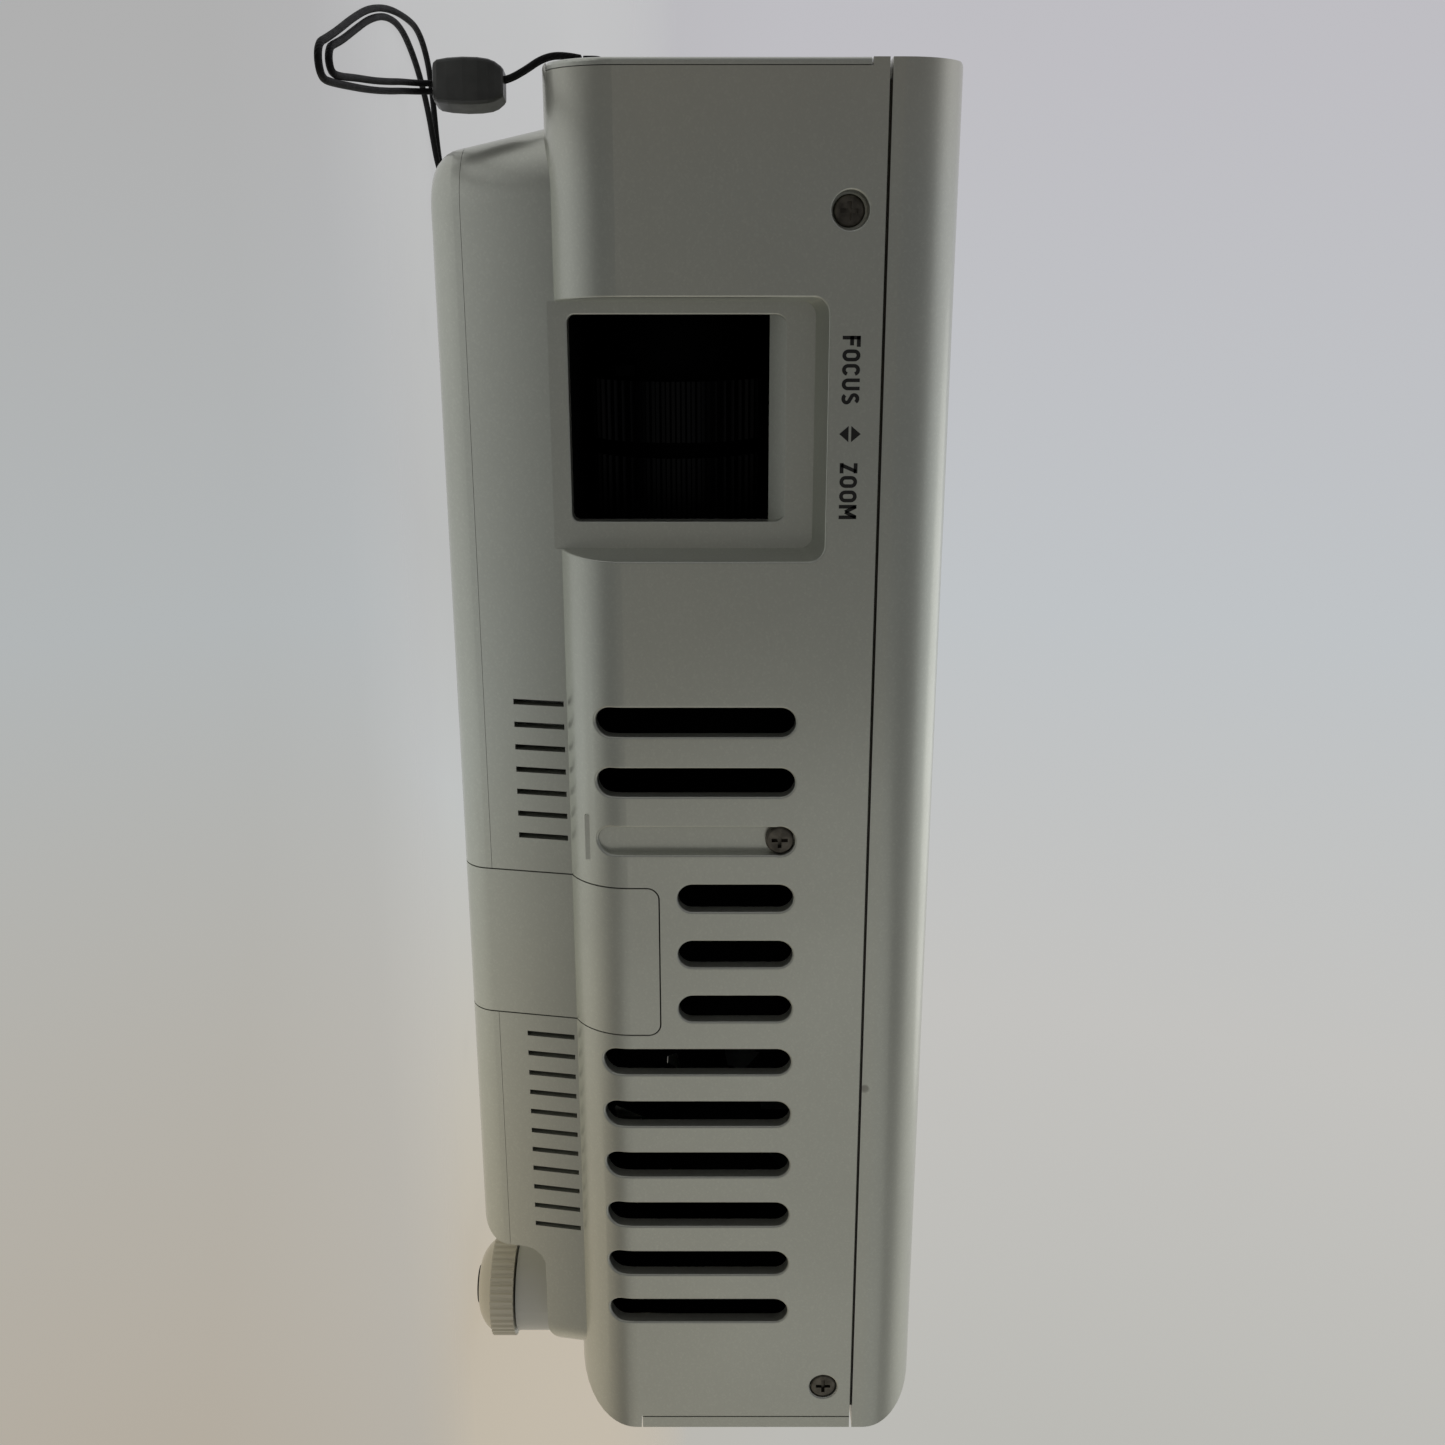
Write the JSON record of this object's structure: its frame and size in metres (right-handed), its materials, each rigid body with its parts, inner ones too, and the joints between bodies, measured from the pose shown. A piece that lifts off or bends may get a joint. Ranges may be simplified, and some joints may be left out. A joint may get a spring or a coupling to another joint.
{
  "type": "home projector",
  "caption": "Flat desktop video projector: vented painted case on a pedestal, recessed focus and zoom rings, tethered lens cap, filter drawer, lamp door, screw feet, sockets and key panel.",
  "frame": {"origin": "bottom centre of the object's box without its lens cap tether, on the plane the feet stand on", "axes": "+Z up as the projector is used, -Y along the beam so the lens faces -Y, +X on the side with the focus and zoom window; the picture shows it standing on its rear end, with -Y up"},
  "size_m": [0.4288, 0.3145, 0.106],
  "materials": {
    "shell_paint": "satin, fine pearl silver paint on moulded plastic",
    "black_plastic": "satin",
    "black_gloss": "semi-gloss",
    "grey_plastic": "plain moulded",
    "infrared_plastic": "gloss, passes infrared only",
    "ivory_plastic": "satin",
    "collar_plastic": "satin",
    "key_plastic": "satin",
    "light_pipe": "clear tinted",
    "pad_rubber": "matte",
    "screw_steel": "dark plated",
    "insert_brass": "bright",
    "contact_metal": "nickel plated",
    "lens_glass": "coated, clear",
    "panel_glass": "smoked",
    "reflector": "polished",
    "filter_foam": "open foam",
    "cord_black": "matte braided",
    "board_green": "lacquered board",
    "component_plastic": "plain"
  },
  "bodies": {
    "chassis": {"lower_case": "shell_paint", "bottom_plate": "shell_paint", "top_cover": "shell_paint", "front_bezel": "shell_paint", "rear_panel": "shell_paint", "lens_trim_ring": "black_plastic", "ir_windows": "infrared_plastic", "case_screws": "screw_steel", "mount_inserts": "insert_brass", "front_pads": "pad_rubber", "foot_collars": "collar_plastic", "lens_barrel": "black_plastic", "lens_shroud": "black_plastic", "tether_anchor": "black_plastic", "tether_toggle": "black_plastic", "tether_long_a": "cord_black", "tether_long_b": "cord_black", "tether_short_a": "cord_black", "tether_short_b": "cord_black", "exhaust_duct": "grey_plastic", "exhaust_fan_frame": "black_plastic", "light_engine": "grey_plastic", "cross_prism": "lens_glass", "lcd_panels": "panel_glass", "lamp_housing": "grey_plastic", "lamp_reflector": "reflector", "power_supply_board": "board_green", "main_board": "board_green", "terminal_board": "board_green", "key_board": "board_green", "board_components": "component_plastic", "ac_inlet": "black_gloss", "socket_contacts": "contact_metal", "video_sockets": "contact_metal", "component_jacks": "contact_metal", "status_lights": "light_pipe"},
    "focus_ring": {"focus_ring": "black_plastic"},
    "front_cell": {"front_lens_cell": "black_plastic", "front_lens": "lens_glass"},
    "zoom_ring": {"zoom_ring": "black_plastic"},
    "zoom_cell": {"zoom_lens_cell": "black_plastic"},
    "lens_cap": {"lens_cap": "black_plastic"},
    "filter_drawer": {"filter_door": "shell_paint", "air_filter_frame": "black_plastic", "air_filter_mesh": "filter_foam"},
    "lamp_door": {"lamp_door": "shell_paint"},
    "fan_rotor": {"exhaust_fan_rotor": "black_plastic"},
    "power_rocker": {"power_rocker": "black_gloss"},
    "foot_pad_right": {"foot_pad_right": "pad_rubber"},
    "foot_knob_right": {"foot_knob_right": "ivory_plastic"},
    "foot_pad_left": {"foot_pad_left": "pad_rubber"},
    "foot_knob_left": {"foot_knob_left": "ivory_plastic"},
    "power_button": {"power_button": "key_plastic"},
    "up_button": {"up_button": "key_plastic"},
    "down_button": {"down_button": "key_plastic"},
    "left_button": {"left_button": "key_plastic"},
    "right_button": {"right_button": "key_plastic"},
    "select_button": {"select_button": "key_plastic"},
    "menu_button": {"menu_button": "key_plastic"},
    "input_button": {"input_button": "key_plastic"}
  },
  "joints": [
    {"name": "front_cell_slide", "type": "slide", "parent": "chassis", "child": "front_cell", "axis": [0, -1, 0], "range_m": [-0.0015, 0.0015]},
    {"name": "focus_turn", "type": "hinge", "parent": "chassis", "child": "focus_ring", "pos_m": [0.144, -0.0859, 0.051], "axis": [0, -1, 0], "range_deg": [-45.2, 45.2]},
    {"name": "zoom_cell_slide", "type": "slide", "parent": "chassis", "child": "zoom_cell", "axis": [0, -1, 0], "range_m": [-0.006, 0.006]},
    {"name": "zoom_turn", "type": "hinge", "parent": "chassis", "child": "zoom_ring", "pos_m": [0.144, -0.0698, 0.051], "axis": [0, -1, 0], "range_deg": [-30.2, 30.2]},
    {"name": "lens_cap_pull", "type": "slide", "parent": "chassis", "child": "lens_cap", "axis": [0, -1, 0], "range_m": [0, 0.014]},
    {"name": "filter_slide", "type": "slide", "parent": "chassis", "child": "filter_drawer", "axis": [1, 0, 0], "range_m": [0, 0.085]},
    {"name": "lamp_door_swing", "type": "hinge", "parent": "chassis", "child": "lamp_door", "pos_m": [-0.1882, -0.117, 0.0625], "axis": [0, 0, 1], "range_deg": [0, 95]},
    {"name": "fan_spin", "type": "hinge", "parent": "chassis", "child": "fan_rotor", "pos_m": [0.159, 0.085, 0.06], "axis": [1, 0, 0], "continuous": true},
    {"name": "rocker_tip", "type": "hinge", "parent": "chassis", "child": "power_rocker", "pos_m": [-0.112, 0.1455, 0.064], "axis": [1, 0, 0], "range_deg": [0, 16]},
    {"name": "foot_lift_right", "type": "slide", "parent": "chassis", "child": "foot_pad_right", "axis": [0, 0, -1], "range_m": [0, 0.006]},
    {"name": "foot_turn_right", "type": "hinge", "parent": "foot_pad_right", "child": "foot_knob_right", "pos_m": [0.164, 0.1296, 0.007], "axis": [0, 0, -1], "range_deg": [-1, 1441]},
    {"name": "foot_lift_left", "type": "slide", "parent": "chassis", "child": "foot_pad_left", "axis": [0, 0, -1], "range_m": [0, 0.006]},
    {"name": "foot_turn_left", "type": "hinge", "parent": "foot_pad_left", "child": "foot_knob_left", "pos_m": [-0.164, 0.1296, 0.007], "axis": [0, 0, -1], "range_deg": [-1, 1441]},
    {"name": "power_press", "type": "slide", "parent": "chassis", "child": "power_button", "axis": [0, 0, -1], "range_m": [0, 0.0008], "stiffness_N_per_m": 600, "springref_m": -0.0008},
    {"name": "up_press", "type": "slide", "parent": "chassis", "child": "up_button", "axis": [0, 0, -1], "range_m": [0, 0.0008], "stiffness_N_per_m": 600, "springref_m": -0.0008},
    {"name": "down_press", "type": "slide", "parent": "chassis", "child": "down_button", "axis": [0, 0, -1], "range_m": [0, 0.0008], "stiffness_N_per_m": 600, "springref_m": -0.0008},
    {"name": "left_press", "type": "slide", "parent": "chassis", "child": "left_button", "axis": [0, 0, -1], "range_m": [0, 0.0008], "stiffness_N_per_m": 600, "springref_m": -0.0008},
    {"name": "right_press", "type": "slide", "parent": "chassis", "child": "right_button", "axis": [0, 0, -1], "range_m": [0, 0.0008], "stiffness_N_per_m": 600, "springref_m": -0.0008},
    {"name": "select_press", "type": "slide", "parent": "chassis", "child": "select_button", "axis": [0, 0, -1], "range_m": [0, 0.0008], "stiffness_N_per_m": 600, "springref_m": -0.0008},
    {"name": "menu_press", "type": "slide", "parent": "chassis", "child": "menu_button", "axis": [0, 0, -1], "range_m": [0, 0.0008], "stiffness_N_per_m": 600, "springref_m": -0.0008},
    {"name": "input_press", "type": "slide", "parent": "chassis", "child": "input_button", "axis": [0, 0, -1], "range_m": [0, 0.0008], "stiffness_N_per_m": 600, "springref_m": -0.0008}
  ],
  "couplings": [
    {"joint": "focus_turn", "follows": "front_cell_slide", "rad_per_m": 523.6},
    {"joint": "zoom_turn", "follows": "zoom_cell_slide", "rad_per_m": 87.266},
    {"joint": "foot_turn_right", "follows": "foot_lift_right", "rad_per_m": 4188.8},
    {"joint": "foot_turn_left", "follows": "foot_lift_left", "rad_per_m": 4188.8}
  ]
}
